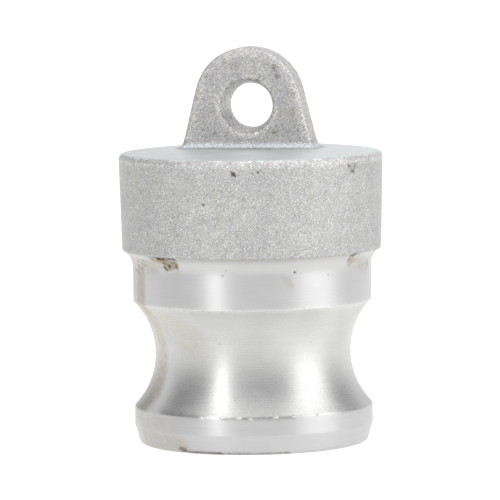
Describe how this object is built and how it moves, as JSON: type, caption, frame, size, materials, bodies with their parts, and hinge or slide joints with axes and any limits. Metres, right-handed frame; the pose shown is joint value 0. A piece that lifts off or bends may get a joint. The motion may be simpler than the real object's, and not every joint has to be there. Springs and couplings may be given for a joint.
{
  "type": "cam and groove dust plug",
  "caption": "Hollow cast aluminium dust plug with a cam groove turned round its barrel, a round head and a rounded ear with a hole.",
  "frame": {"origin": "centre of the seal face, the flat end that the plug stands on", "axes": "+Z from the seal face up through the head and the ear, X across the width of the ear, Y along the hole in the ear"},
  "size_m": [0.0504, 0.0504, 0.0754],
  "materials": {
    "cast_aluminium": "rough as-cast head and ear, bright turned barrel, groove and seal face"
  },
  "bodies": {
    "root": {"dust_plug": "cast_aluminium"}
  },
  "joints": []
}
